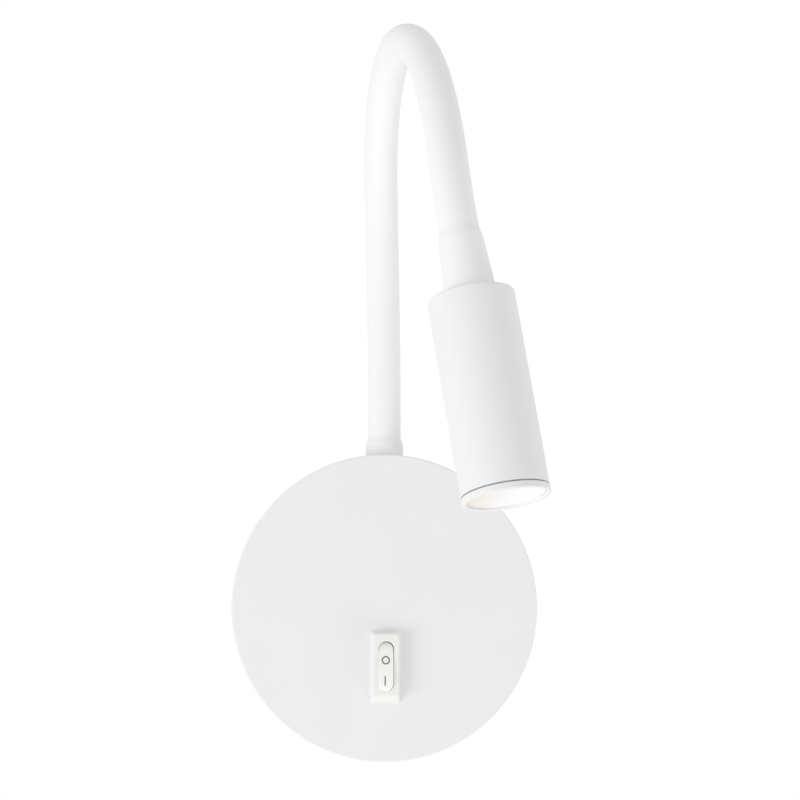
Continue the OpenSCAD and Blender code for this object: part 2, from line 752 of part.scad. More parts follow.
// Front ring: a short collar below the shadow gap, a spigot inside the head and a seat for the lens
module front_ring() {
  color("white") at_head() difference() {
    union() {
      translate([0, 0, ring_z]) cylinder(r = head_r, h = ring_h);
      translate([0, 0, head_end - ring_spigot])
        cylinder(r = ring_spigot_r, h = ring_gap + ring_spigot + past);
    }
    translate([0, 0, head_z]) cylinder(r = ring_spigot_r - ring_spigot_t, h = head_end);
    translate([0, 0, lens_z]) cylinder(r = lens_r + seat, h = ring_h);
  }
}

canopy();
backplate();
cable_grommet();
canopy_screws();
lower_ferrule();
lock_washer();
neck_nut();
driver_case();
driver_screws();
terminal_block();
terminal_screws();
earth_tag();
earth_screw();
earth_wire();
live_wire();
switched_wire();
neutral_wire();
switch_housing();
pivot_pin();
pivot_terminal();
load_terminal();
rocker();
contact_plunger();
plunger_spring();
contact_lever();
led_lead();
for (i = [0 : neck_links - 1]) {
  number = str(i < 9 ? "0" : "", i + 1);
  neck_core(i);
  neck_sleeve(i);
}
upper_ferrule();
head_body();
head_nut();
heat_sink();
led_board();
led_emitter();
led_screws();
lens();
front_ring();
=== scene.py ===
import math

import bmesh
import bpy
from mathutils import Matrix, Vector


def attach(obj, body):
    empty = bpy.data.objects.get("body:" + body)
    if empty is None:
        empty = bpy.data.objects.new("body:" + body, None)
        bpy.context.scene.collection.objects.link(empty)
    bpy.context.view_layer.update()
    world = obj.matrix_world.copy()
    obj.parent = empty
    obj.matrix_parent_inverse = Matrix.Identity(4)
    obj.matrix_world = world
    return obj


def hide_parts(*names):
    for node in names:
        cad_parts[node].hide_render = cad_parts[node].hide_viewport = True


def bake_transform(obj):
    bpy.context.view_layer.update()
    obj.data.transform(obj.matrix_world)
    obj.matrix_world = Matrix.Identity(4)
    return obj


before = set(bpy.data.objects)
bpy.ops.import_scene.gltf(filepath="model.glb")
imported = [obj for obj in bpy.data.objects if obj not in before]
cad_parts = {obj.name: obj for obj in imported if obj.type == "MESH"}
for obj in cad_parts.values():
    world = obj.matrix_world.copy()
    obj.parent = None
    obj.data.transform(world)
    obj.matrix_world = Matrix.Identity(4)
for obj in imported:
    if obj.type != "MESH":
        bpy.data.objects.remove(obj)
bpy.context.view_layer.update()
mm = 0.001  # sizes and places below are in millimetres, and are multiplied by this where they are used


# Camera: the photograph's view, a little below and to the left of the light
camera = {
    "place": (-65.996, -822.462, -7.736),
    "yaw": 5.098,  # degrees to the right
    "pitch": 6.374,  # degrees upwards
    "roll": 0.377,  # degrees
    "focalPixels": 2032.57,  # focal length in pixels of the image
    "imageSide": 800,  # pixels
    "sensor": 36.0,
    "nearest": 10.0,
}


def makeCamera():
    data = bpy.data.cameras.new("photoCamera")
    data.sensor_width = camera["sensor"]
    data.lens = camera["sensor"] * camera["focalPixels"] / camera["imageSide"]
    data.clip_start = camera["nearest"] * mm
    view = bpy.data.objects.new("photoCamera", data)
    bpy.context.scene.collection.objects.link(view)
    turn = Matrix.Rotation(math.radians(-camera["yaw"]), 4, "Z")
    tip = Matrix.Rotation(math.radians(90 + camera["pitch"]), 4, "X")
    roll = Matrix.Rotation(math.radians(camera["roll"]), 4, "Z")
    view.matrix_world = Matrix.Translation(Vector(camera["place"]) * mm) @ turn @ tip @ roll
    bpy.context.scene.camera = view


makeCamera()
print("camera placed")


# Colours, nodes and the start of a material
def linear(hexColour):
    values = [int(hexColour[i : i + 2], 16) / 255 for i in (1, 3, 5)]
    return [v / 12.92 if v <= 0.04045 else ((v + 0.055) / 1.055) ** 2.4 for v in values] + [1.0]


def addNode(tree, kind, settings=None, inputs=None):
    node = tree.nodes.new(kind)
    for name, value in (settings or {}).items():
        setattr(node, name, value)
    for name, value in (inputs or {}).items():
        if isinstance(value, bpy.types.NodeSocket):
            tree.links.new(value, node.inputs[name])
        else:
            node.inputs[name].default_value = value
    return node


def startMaterial(name, settings):
    made = bpy.data.materials.new(name)
    made.use_nodes = True
    tree = made.node_tree
    tree.nodes.clear()
    spot = addNode(tree, "ShaderNodeTexCoord").outputs["Object"]
    shader = addNode(tree, "ShaderNodeBsdfPrincipled", inputs=settings)
    addNode(tree, "ShaderNodeOutputMaterial", {"name": "result"}, {"Surface": shader.outputs[0]})
    return made, tree, shader, spot


# Finishes: the size of the slow colour drift, the size and fineness of the grain, and what the grain sets,
# which is the span of roughness and the depth of the relief

# Powder coat: sprayed dry and baked, an even satin film with a faint orange peel
powderCoat = {"drift": 22, "grain": 1.1, "fine": 2.0, "rough": (0.5, 0.64), "depth": 0.003, "ior": 1.5}
# Silicone rubber: moulded, matt, a dusty skin that takes light softly; its grain is drawn coarser to show
siliconeSkin = {"drift": 30, "grain": 0.5, "fine": 3.0, "rough": (0.6, 0.75), "depth": 0.0016, "ior": 1.42}
# Moulded plastic: spark eroded tool texture with a satin face, drawn coarser than the real 0.1 mm to show
satinMould = {"drift": 9, "grain": 0.25, "fine": 2.0, "rough": (0.32, 0.45), "depth": 0.0015, "ior": 1.53}
# Extruded or moulded insulation, rubber and ink, duller than the switch
dullMould = {"drift": 6, "grain": 0.3, "fine": 2.0, "rough": (0.45, 0.62), "depth": 0.002, "ior": 1.5}
# Plated, turned or drawn metal, tumbled bright with fine scratches
tumbledMetal = {"drift": 6, "grain": 0.25, "fine": 4.0, "rough": (0.27, 0.43), "depth": 0.001}
# Acrylic, frosted on its face by a blasted mould
blastedFrost = {"drift": 8, "grain": 0.4, "fine": 2.0, "rough": (0.4, 0.55), "depth": 0.001, "ior": 1.49}
driftFine = 2.0
noiseSpan = (0.25, 0.75)  # where nearly all of a noise lies


def finishOf(name, finish, colours, more=None):
    settings = {"Metallic": 0.0, "IOR": finish["ior"]} if "ior" in finish else {"Metallic": 1.0}
    made, tree, shader, spot = startMaterial(name, settings | (more or {}))
    clouds = {"Vector": spot, "Scale": 1 / (finish["drift"] * mm), "Detail": driftFine}
    drift = addNode(tree, "ShaderNodeTexNoise", {"name": "drift"}, clouds)
    ends = {0: drift.outputs[0], 6: linear(colours[0]), 7: linear(colours[1])}  # 6 and 7 are its colours
    colour = addNode(tree, "ShaderNodeMix", {"name": "colour", "data_type": "RGBA"}, ends)
    pores = {"Vector": spot, "Scale": 1 / (finish["grain"] * mm), "Detail": finish["fine"]}
    grain = addNode(tree, "ShaderNodeTexNoise", inputs=pores).outputs[0]
    spread = dict(zip(("From Min", "From Max", "To Min", "To Max"), noiseSpan + finish["rough"]))
    gloss = addNode(tree, "ShaderNodeMapRange", inputs={"Value": grain} | spread)
    relief = addNode(tree, "ShaderNodeBump", inputs={"Height": grain, "Distance": finish["depth"] * mm})
    tree.links.new(colour.outputs[2], shader.inputs["Base Color"])
    tree.links.new(gloss.outputs[0], shader.inputs["Roughness"])
    tree.links.new(relief.outputs[0], shader.inputs["Normal"])
    return made, tree, shader, spot


def plainFinish(name, finish, colours, more=None):
    return finishOf(name, finish, colours, more)[0]


def colourBy(tree, share):
    # another pattern shares out the two colours in place of the slow drift
    tree.nodes.remove(tree.nodes["drift"])
    tree.links.new(share, tree.nodes["colour"].inputs[0])


matt = {"Specular IOR Level": 0.15}  # a fine texture scatters most of the mirror light
canopyPaint = plainFinish("powderCoatedSteel", powderCoat, ("#EEEEEE", "#EBEBEB"), matt)  # neutral white
headPaint = plainFinish("powderCoatedAluminium", powderCoat, ("#EEEDED", "#EBEAEA"), matt)  # a touch warmer
ferrulePaint = plainFinish("powderCoatedBrass", powderCoat, ("#F2F2F2", "#EFEFEF"), matt)  # a shade paler
sleeveRubber = plainFinish("siliconeRubber", siliconeSkin, ("#F3F3F3", "#F1F1F1"), matt)  # soft and palest
switchPlastic = plainFinish("absSwitch", satinMould, ("#EEEEEC", "#EBEBE9"))  # satin, a little creamy
rockerPlastic = plainFinish("absRocker", satinMould, ("#F4F4F1", "#F2F2EF"))  # brighter than its bezel
markInk = plainFinish("padPrintedInk", dullMould, ("#74726E", "#7A7873"))  # thin warm grey print
casePlastic = plainFinish("polycarbonateCase", satinMould, ("#E9E9E6", "#E4E4E0"))
blockPlastic = plainFinish("polyamideBlock", dullMould, ("#E6E3D8", "#DEDACD"))  # waxy, yellowish
grommetRubber = plainFinish("epdmRubber", dullMould, ("#2A2A2B", "#333334"))
boardMask = plainFinish("whiteSolderMask", satinMould, ("#F2F2EF", "#EDEDE8"))
phosphor = plainFinish("ledPhosphor", dullMould, ("#E9C23A", "#DDB02C"))
zincPlate = plainFinish("zincPlatedSteel", tumbledMetal, ("#C6CACE", "#B9BDBF"))  # bluish
blackSteel = plainFinish("blackenedSteel", tumbledMetal, ("#3A3A3C", "#2E2E30"))
brass = plainFinish("brass", tumbledMetal, ("#D2AE5E", "#C49C4B"))
sinkAluminium = plainFinish("extrudedAluminium", tumbledMetal, ("#D6D8DA", "#C9CBCE"))
linkSteel = plainFinish("turnedSteel", tumbledMetal, ("#BFC1C4", "#B0B2B5"))
wireBrown = plainFinish("pvcBrown", dullMould, ("#6B3F25", "#5F371F"))
wireBlue = plainFinish("pvcBlue", dullMould, ("#2F62B5", "#2A58A5"))
wireGrey = plainFinish("pvcGrey", dullMould, ("#7E8083", "#76787B"))
leadJacket = plainFinish("pvcJacket", dullMould, ("#ECE9DF", "#E5E1D5"))
print("finishes mixed")


# Finishing a piece: its mesh, its smooth faces and its material
touching = 0.0005 * mm  # points this near are one
onLevel = 0.002 * mm  # a point this near to a height or a radius lies on it
sharpFrom = 35  # degrees


def finishPiece(name, bm, finish):
    bmesh.ops.remove_doubles(bm, verts=bm.verts, dist=touching)
    bmesh.ops.recalc_face_normals(bm, faces=bm.faces)
    mesh = bpy.data.meshes.new(name)
    bm.to_mesh(mesh)
    bm.free()
    for polygon in mesh.polygons:
        polygon.use_smooth = True
    mesh.set_sharp_from_angle(angle=math.radians(sharpFrom))
    mesh.materials.append(finish)
    piece = bpy.data.objects.new(name, mesh)
    bpy.context.scene.collection.objects.link(piece)
    return piece


def fit(piece, body, node):
    # a rigid piece that stands for a CAD node; its flat faces stay flat beside rounded edges
    weighted = piece.modifiers.new("flatFaces", "WEIGHTED_NORMAL")
    weighted.keep_sharp = True
    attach(piece, body)
    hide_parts(node)


def roundEdges(bm, edges, rounding, segments):
    bmesh.ops.bevel(
        bm,
        geom=edges,
        offset=rounding * mm,
        offset_type="OFFSET",
        affect="EDGES",
        segments=segments,
        profile=0.5,
        material=-1,
    )


# A turned piece: a closed outline of (radius, height, rounding) corners, spun about +Z
ringSegments = 6  # across a rounded corner


def roundRing(bm, radius, height, rounding):
    def onRing(vert):
        return abs(vert.co.xy.length - radius * mm) < onLevel and abs(vert.co.z - height * mm) < onLevel

    ring = [e for e in bm.edges if onRing(e.verts[0]) and onRing(e.verts[1])]
    roundEdges(bm, ring, rounding, ringSegments)


def spinOutline(corners, steps):
    bm = bmesh.new()
    verts = [bm.verts.new((radius * mm, 0, height * mm)) for radius, height, _ in corners]
    sides = [pair for pair in zip(verts, verts[1:] + verts[:1]) if pair[0].co.x + pair[1].co.x > 0]
    edges = [bm.edges.new(pair) for pair in sides]  # none along the axis
    bmesh.ops.spin(
        bm,
        geom=verts + edges,
        cent=(0, 0, 0),
        axis=(0, 0, 1),
        angle=2 * math.pi,
        steps=steps,
        use_merge=True,
    )
    bmesh.ops.remove_doubles(bm, verts=bm.verts, dist=touching)
    bmesh.ops.recalc_face_normals(bm, faces=bm.faces)
    for radius, height, rounding in corners:
        if rounding:
            roundRing(bm, radius, height, rounding)
    return bm


# The neck's centre line: each link is an arc, and the bend swells and fades along the neck
neck = {
    "links": 12,
    "linkLength": 26.0,
    "foot": (0, -13, 68),
    "crownBend": 20.5,  # degrees, in the most bent link
    "crownAt": 4.5,  # links from the foot
    "riseSpread": 2.9,  # links
    "fallSpread": 8.4,  # links
    "leans": ((4, -1), (8, 2), (11, 0), (12, 5.5)),  # up to this link, degrees to the right in each
}


def linkTurn(link):
    spread = neck["riseSpread"] if link < neck["crownAt"] else neck["fallSpread"]
    bend = neck["crownBend"] * math.exp(-(((link - neck["crownAt"]) / spread) ** 2))
    lean = next(degrees for upTo, degrees in neck["leans"] if link < upTo)
    return math.radians(math.hypot(bend, lean)), math.atan2(lean, bend)


def neckFrame(at):  # counted in links from the foot
    place = Matrix.Translation(Vector(neck["foot"]) * mm)
    for link in range(neck["links"]):
        share = min(1, at - link)
        if share <= 0:
            break
        turn, plane = linkTurn(link)
        radius = neck["linkLength"] * mm / turn
        arc = Matrix.Translation((0, -radius, 0)) @ Matrix.Rotation(turn * share, 4, "X")
        arc = arc @ Matrix.Translation((0, radius, 0))
        aside = Matrix.Rotation(plane, 4, "Z")
        place = place @ aside @ arc @ aside.inverted()
    return place


def grow(bm, edges):
    # extrudes edges in place and gives the new loop
    grown = bmesh.ops.extrude_edge_only(bm, edges=edges)["geom"]
    verts = [g for g in grown if isinstance(g, bmesh.types.BMVert)]
    new = set(verts)
    return verts, [g for g in grown if isinstance(g, bmesh.types.BMEdge) and new.issuperset(g.verts)]


def carryRing(bm, edges, places):
    # extrudes a ring of edges from place to place
    for before, after in zip(places, places[1:]):
        verts, edges = grow(bm, edges)
        bmesh.ops.transform(bm, matrix=after @ before.inverted(), verts=verts)
    return edges


def sweptTube(places, outer, inner, sides):
    # a ring carried along the places, drawn in at the far end and, if hollow, carried back inside
    bm = bmesh.new()
    bmesh.ops.create_circle(bm, segments=sides, radius=outer * mm, matrix=places[0])
    first = list(bm.edges)
    last = carryRing(bm, first, places)
    if not inner:
        bmesh.ops.edgeloop_fill(bm, edges=first)
        bmesh.ops.edgeloop_fill(bm, edges=last)
        return bm
    narrow = Matrix.Diagonal((inner / outer, inner / outer, 1, 1))
    back = [places[-1], places[-1] @ narrow] + [place @ narrow for place in reversed(places[:-1])]
    last = carryRing(bm, last, back)
    bmesh.ops.bridge_loops(bm, edges=first + last)
    return bm


# Sleeve: one smooth skin of silicone, cut at the middle of each link into lengths that each span one joint
sleeve = {"outer": 6.5, "inner": 5.9, "sides": 72, "ringsPerLink": 26, "plainEnd": 1.6}


def neckLength(joint, ringsPerLink):  # places along the length that spans this joint
    start = 0 if joint == 1 else joint - 0.5
    end = neck["links"] if joint == neck["links"] - 1 else joint + 0.5
    count = round(ringsPerLink * (end - start))
    return [neckFrame(start + (end - start) * n / count) for n in range(count + 1)]


def bendOverJoint(piece):
    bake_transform(piece)


def makeSleeve():
    for joint in range(1, neck["links"]):
        places = neckLength(joint, sleeve["ringsPerLink"])
        bm = sweptTube(places, sleeve["outer"], sleeve["inner"], sleeve["sides"])
        piece = finishPiece(f"sleeveLength_{joint:02d}", bm, sleeveRubber)
        bendOverJoint(piece)
        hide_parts(f"neck_sleeve_{joint:02d}", f"neck_sleeve_{joint + 1:02d}")


makeSleeve()
print("sleeve laid over the neck")


# Fits that the two collars of the neck share
collarFit = {
    "thread": 4.9,  # outside radius of the threaded shank
    "leadWay": 2.4,  # radius of the hole for the lead
    "coreBore": 5.25,  # radius of the bore that takes the tail of the neck's core
    "coreDepth": 6.05,
}
seat = 0.05  # room round a piece that sits in another

# Head: a turned tube, its front ring, the lens and a collar, with heights from the neck's end
head = {
    "radius": 14.0,
    "wall": 1.5,
    "top": 3.0,
    "from": 24.0,
    "to": 88.55,
    "topEdge": 0.9,
    "gapEdge": 0.15,
    "innerEdge": 0.1,
    "ringFrom": 89.05,
    "ringTo": 91.1,
    "ringEdge": 0.35,
    "ringLip": 0.2,
    "spigot": (6.0, 12.4, 11.4),  # length behind the gap, outside and inside radius
    "lensFrom": 89.5,
    "lensTo": 90.3,
    "lensRadius": 12.5,
    "lensEdge": 0.15,
    "steps": 160,
}
headCollar = {
    "outline": ((6.52, 0, 0), (6.56, 1.3, 1.0), (7.2, 4.25, 1.2)),  # from the sleeve on
    "foot": (8.6, 0.1),  # radius and rounding
    "groove": 0.4,  # as tall as it is deep, where the collar meets the head
    "shank": 8.0,
}
# Lens: a faint glow stands for the lit LED; its warm-to-cool shift and its brighter side are painted light
lensGlowPaintedTint = {
    "strength": 0.09,
    "warm": "#604838",
    "cool": "#FFFFFF",
    # base colours with a painted tint, warmer on one side and cooler on the other
    "frost": ("#EFE7E0", "#EDEDF0"),  # on the warm and on the cool side
    "span": (-1.0, 0.5),  # in lens radii to the right, where warm turns to cool
}


# Frosted acrylic with a faint glow for the LED lit behind it, and painted light across it: a painted warm
# tint towards one side, a painted cooler, brighter glow towards the other
def frostedLensPaintedGlow(place):
    glow = {"Emission Strength": lensGlowPaintedTint["strength"]}
    made, tree, shader, spot = finishOf("frostedAcrylicPaintedGlow", blastedFrost, lensGlowPaintedTint["frost"], glow)
    middle = place @ Vector((0, 0, head["lensFrom"] * mm))
    away = addNode(tree, "ShaderNodeVectorMath", {"operation": "SUBTRACT"}, {0: spot, 1: middle})
    right = place.to_3x3() @ Vector((1, 0, 0))
    along = {0: away.outputs[0], 1: right}
    aside = addNode(tree, "ShaderNodeVectorMath", {"operation": "DOT_PRODUCT"}, along)
    # painted light: the glow and the base colour shift from warm to cool and brighter across the lens
    warmEnd, coolEnd = [share * head["lensRadius"] * mm for share in lensGlowPaintedTint["span"]]
    across = {"Value": aside.outputs["Value"], "From Min": warmEnd, "From Max": coolEnd}
    fade = addNode(tree, "ShaderNodeMapRange", {"interpolation_type": "SMOOTHSTEP"}, across).outputs[0]
    colourBy(tree, fade)
    ends = {0: fade, 6: linear(lensGlowPaintedTint["warm"]), 7: linear(lensGlowPaintedTint["cool"])}
    light = addNode(tree, "ShaderNodeMix", {"data_type": "RGBA"}, ends)
    tree.links.new(light.outputs[2], shader.inputs["Emission Color"])
    return made


def turnedPiece(name, corners, place, finish, node):
    bm = spinOutline(corners, head["steps"])
    bmesh.ops.transform(bm, matrix=place, verts=bm.verts)
    fit(finishPiece(name, bm, finish), "head", node)


def makeHeadTube(place):
    hole = collarFit["thread"] + seat
    inside = head["radius"] - head["wall"]
    floor = head["from"] + head["top"]
    corners = [
        (hole, head["from"], 0),
        (head["radius"], head["from"], head["topEdge"]),
        (head["radius"], head["to"], head["gapEdge"]),
        (inside, head["to"], head["innerEdge"]),
        (inside, floor, 0),
        (hole, floor, 0),
    ]
    turnedPiece("headTube", corners, place, headPaint, "head_body")


def makeHeadRing(place):
    mouth = head["lensRadius"] + seat
    spigotLength, spigotOut, spigotIn = head["spigot"]
    spigotEnd = head["to"] - spigotLength
    corners = [
        (head["radius"], head["ringFrom"], head["gapEdge"]),
        (head["radius"], head["ringTo"], head["ringEdge"]),
        (mouth, head["ringTo"], head["ringLip"]),
        (mouth, head["lensFrom"], 0),
        (spigotIn, head["lensFrom"], 0),
        (spigotIn, spigotEnd, 0),
        (spigotOut, spigotEnd, 0),
        (spigotOut, head["ringFrom"], 0),
    ]
    turnedPiece("headRing", corners, place, headPaint, "front_ring")


def makeLens(place):
    corners = [
        (0, head["lensFrom"], 0),
        (head["lensRadius"], head["lensFrom"], 0),
        (head["lensRadius"], head["lensTo"], head["lensEdge"]),
        (0, head["lensTo"], 0),
    ]
    turnedPiece("lensDisc", corners, place, frostedLensPaintedGlow(place), "lens")


def makeHeadCollar(place):
    foot, footRounding = headCollar["foot"]
    groove = headCollar["groove"]
    shankEnd = head["from"] + headCollar["shank"]
    corners = [
        *headCollar["outline"],
        (foot, head["from"] - groove, footRounding),
        (foot - groove, head["from"], 0),
        (collarFit["thread"], head["from"], 0),
        (collarFit["thread"], shankEnd, 0),
        (collarFit["leadWay"], shankEnd, 0),
        (collarFit["leadWay"], collarFit["coreDepth"], 0),
        (collarFit["coreBore"], collarFit["coreDepth"], 0),
        (collarFit["coreBore"], 0, 0),
    ]
    turnedPiece("headCollar", corners, place, ferrulePaint, "upper_ferrule")


neckEnd = neckFrame(neck["links"])
makeHeadTube(neckEnd)
makeHeadRing(neckEnd)
makeLens(neckEnd)
makeHeadCollar(neckEnd)
print("head turned")


# PVC in two colours, extruded as green and yellow stripes
earthStripes = {
    "wide": 3.0,
    "yellowFrom": 0.6,  # height of the wave
    "waveRate": 10.0,  # radians that the wave runs on in one unit
}


def stripedPvc():
    made, tree, _, spot = finishOf("pvcGreenYellow", dullMould, ("#4C9A3A", "#E3CF3B"))
    scale = math.pi / earthStripes["waveRate"] / (earthStripes["wide"] * mm)  # half a wave to a stripe
    stripes = {"Vector": spot, "Scale": scale}
    bands = addNode(tree, "ShaderNodeTexWave", {"bands_direction": "DIAGONAL"}, stripes)
    crest = {0: bands.outputs["Fac"], 1: earthStripes["yellowFrom"]}
    colourBy(tree, addNode(tree, "ShaderNodeMath", {"operation": "GREATER_THAN"}, crest).outputs[0])
    return made


# Wires inside the canopy, by the points that they pass
wireShape = {"radius": 1.0, "roundness": 4, "stepsPerPoint": 10, "order": 3}
wires = {
    "live": {
        "pvc": wireBrown,
        "route": [(26, -7, -8), (20, -7, -8), (14, -7.5, -11), (8, -8, -17), (4, -8.6, -22)]
        + [(0.7, -8.6, -23)],
    },
    "switched": {
        "pvc": wireGrey,
        "route": [(-0.7, -8.6, -17), (-5, -8.6, -17), (-9, -9, -14), (-14.95, -10, -10)]
        + [(-20.95, -10, -10)],
    },
    "neutral": {
        "pvc": wireBlue,
        "route": [(26, -7, 0), (20, -7, 0), (14, -8, 5), (8, -9, 10), (0, -9.5, 12), (-7, -9.5, 10)]
        + [(-14.95, -10, 4), (-20.95, -10, 4)],
    },
    "earth": {
        "pvc": stripedPvc(),
        "route": [(26, -7, 8), (20, -7, 8), (17, -6.5, 11), (14, -4.5, 15), (14, -3.4, 19)]
        + [(14, -3.4, 20.5)],
    },
}


def routedWire(name, route, radius, finish):
    data = bpy.data.curves.new(name, "CURVE")
    data.dimensions = "3D"
    data.bevel_depth = radius * mm
    data.bevel_resolution = wireShape["roundness"]
    data.resolution_u = wireShape["stepsPerPoint"]
    data.use_fill_caps = True
    spline = data.splines.new("NURBS")
    spline.points.add(len(route) - 1)
    for point, place in zip(spline.points, route):
        point.co = [c * mm for c in place] + [1]
    spline.order_u = wireShape["order"]
    spline.use_endpoint_u = True
    shape = bpy.data.objects.new(name, data)
    bpy.context.scene.collection.objects.link(shape)
    mesh = bpy.data.meshes.new_from_object(shape.evaluated_get(bpy.context.evaluated_depsgraph_get()))
    bpy.data.objects.remove(shape)
    bm = bmesh.new()
    bm.from_mesh(mesh)
    bpy.data.meshes.remove(mesh)
    return finishPiece(name, bm, finish)


def makeWires():
    for name, wire in wires.items():
        piece = routedWire(name + "Wire", wire["route"], wireShape["radius"], wire["pvc"])
        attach(piece, "base")
        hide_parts(name + "_wire")


# Lead: from the driver up to the neck's foot, through the neck and on to the end of the heat sink
lead = {
    "outer": 1.5,
    "sides": 12,
    "ringsPerLink": 8,
    "plainEnd": 1.0,
    "route": [(-20.95, -10, 14), (-14.95, -10, 14), (-8, -12, 23), (-3, -13, 33), (0, -13, 43)]
    + [(0, -13, 51.4), (0, -13, 60), neck["foot"]],
    "sinkEnd": 68.5,  # from the neck's end
}


def makeLead():
    pieces = [routedWire("leadFromDriver", lead["route"], lead["outer"], leadJacket)]
    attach(pieces[0], "base")
    for joint in range(1, neck["links"]):
        bm = sweptTube(neckLength(joint, lead["ringsPerLink"]), lead["outer"], 0, lead["sides"])
        pieces.append(finishPiece(f"leadLength_{joint:02d}", bm, leadJacket))
        bendOverJoint(pieces[-1])
    places = [neckEnd, neckEnd @ Matrix.Translation((0, 0, (lead["sinkEnd"] - seat) * mm))]
    pieces.append(finishPiece("leadInHead", sweptTube(places, lead["outer"], 0, lead["sides"]), leadJacket))
    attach(pieces[-1], "head")
    for piece in pieces:
        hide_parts("led_lead")


makeWires()
makeLead()
print("wires and lead run")


# Canopy: a pressed steel cup with a crisp front edge, pierced for the neck, the switch and two set screws
canopy = {
    "radius": 60.0,
    "depth": 25.0,
    "wall": 1.2,
    "frontEdge": 0.6,
    "rimEdge": 0.2,
    "steps": 192,
    "neckHole": 5.1,  # radius
    "neckOut": 13.0,  # out from the wall
    "screwHole": 2.2,  # radius
    "screwOut": 7.0,  # out from the wall
    "switchHole": (9.6, 23.0),  # width and height
    "switchDrop": 23.0,  # below the middle
    "drillLength": 8.0,
    "drillSides": 48,
}
faceWall = Matrix.Rotation(math.radians(90), 4, "X")  # turns +Z to -Y, out of the wall


def asObject(bm):
    mesh = bpy.data.meshes.new("working")
    bm.to_mesh(mesh)
    bm.free()
    working = bpy.data.objects.new("working", mesh)
    bpy.context.scene.collection.objects.link(working)
    return working


def pierce(bm, cutters):
    # cuts each cutter out of the shape and gives the shape back
    body = asObject(bm)
    tools = [asObject(cutter) for cutter in cutters]
    for tool in tools:
        cut = body.modifiers.new("cut", "BOOLEAN")
        cut.object = tool
        cut.operation = "DIFFERENCE"
        cut.solver = "EXACT"
    bpy.context.view_layer.update()
    mesh = bpy.data.meshes.new_from_object(body.evaluated_get(bpy.context.evaluated_depsgraph_get()))
    for used in [body] + tools:
        bpy.data.objects.remove(used)
    pierced = bmesh.new()
    pierced.from_mesh(mesh)
    bpy.data.meshes.remove(mesh)
    return pierced


def drill(radius, place):
    bm = bmesh.new()
    bmesh.ops.create_cone(
        bm,
        cap_ends=True,
        segments=canopy["drillSides"],
        radius1=radius * mm,
        radius2=radius * mm,
        depth=canopy["drillLength"] * mm,
        matrix=place,
    )
    return bm


def switchWindow():
    wide, high = canopy["switchHole"]
    size = Matrix.Diagonal((wide * mm, canopy["drillLength"] * mm, high * mm, 1))
    place = Matrix.Translation((0, -canopy["depth"] * mm, -canopy["switchDrop"] * mm))
    bm = bmesh.new()
    bmesh.ops.create_cube(bm, size=1, matrix=place @ size)
    return bm


def makeCanopy():
    inside = canopy["radius"] - canopy["wall"]
    ceiling = canopy["depth"] - canopy["wall"]
    corners = [
        (0, canopy["depth"], 0),
        (canopy["radius"], canopy["depth"], canopy["frontEdge"]),
        (canopy["radius"], 0, canopy["rimEdge"]),
        (inside, 0, canopy["rimEdge"]),
        (inside, ceiling, 0),
        (0, ceiling, 0),
    ]
    bm = spinOutline(corners, canopy["steps"])
    bmesh.ops.transform(bm, matrix=faceWall, verts=bm.verts)
    rim = canopy["radius"] * mm
    cutters = [drill(canopy["neckHole"], Matrix.Translation((0, -canopy["neckOut"] * mm, rim)))]
    for side in (-1, 1):
        aside = Matrix.Translation((side * rim, -canopy["screwOut"] * mm, 0))
        cutters.append(drill(canopy["screwHole"], aside @ Matrix.Rotation(math.pi / 2, 4, "Y")))
    cutters.append(switchWindow())
    fit(finishPiece("canopyShell", pierce(bm, cutters), canopyPaint), "base", "canopy")


makeCanopy()
print("canopy pressed and pierced")


# Collar at the neck's foot: it flares down from the sleeve and sits on the canopy's rim
footCollar = {
    "outline": ((6.52, 68.0, 0), (6.58, 67.3, 0.6), (7.47, 65.0, 0.8)),  # from the sleeve down
    "radius": 7.5,
    "top": 68.0,
    "rim": 60.05,
    "shankFoot": 51.4,
    "steps": 128,
}


def makeFootCollar():
    rim, shankFoot = footCollar["rim"], footCollar["shankFoot"]
    coreFloor = footCollar["top"] - collarFit["coreDepth"]
    corners = [
        *footCollar["outline"],
        (footCollar["radius"], rim, 0),
        (collarFit["thread"], rim, 0),
        (collarFit["thread"], shankFoot, 0),
        (collarFit["leadWay"], shankFoot, 0),
        (collarFit["leadWay"], coreFloor, 0),
        (collarFit["coreBore"], coreFloor, 0),
        (collarFit["coreBore"], footCollar["top"], 0),
    ]
    bm = spinOutline(corners, footCollar["steps"])
    for vert in bm.verts:
        if abs(vert.co.z - rim * mm) < onLevel:
            vert.co.z = math.sqrt((rim * mm) ** 2 - vert.co.x**2)  # follows the round rim
    bmesh.ops.transform(bm, matrix=Matrix.Translation((0, -canopy["neckOut"] * mm, 0)), verts=bm.verts)
    fit(finishPiece("footCollar", bm, ferrulePaint), "base", "lower_ferrule")


makeFootCollar()
print("foot collar seated")


# Switch: a moulded bezel with leaning sides and a long round-ended well, its rocker and two printed marks
switch = {
    "pivot": (0, -27.6, -23.0),
    "front": (10.0, 24.0, -30.0, 0.6),  # width, height, y and lift above the pivot, as in the next lines
    "foot": (12.0, 28.0, -25.0, -0.4),
    "waist": (9.2, 22.6, -25.0, 0),
    "back": (9.2, 22.6, -12.0, 0),
    "corner": 1.0,
    "wellMouth": (5.98, 19.3, -30.0, 0),
    "wellWaist": (6.9, 20.1, -27.6, 0),  # the rocker's ends swing here
    "wellFloor": (6.9, 20.1, -13.2, 0),
    "edge": 0.4,
    "lip": 0.1,
    "loopSides": 48,
    "edgeSegments": 5,
    "lipSegments": 4,
}


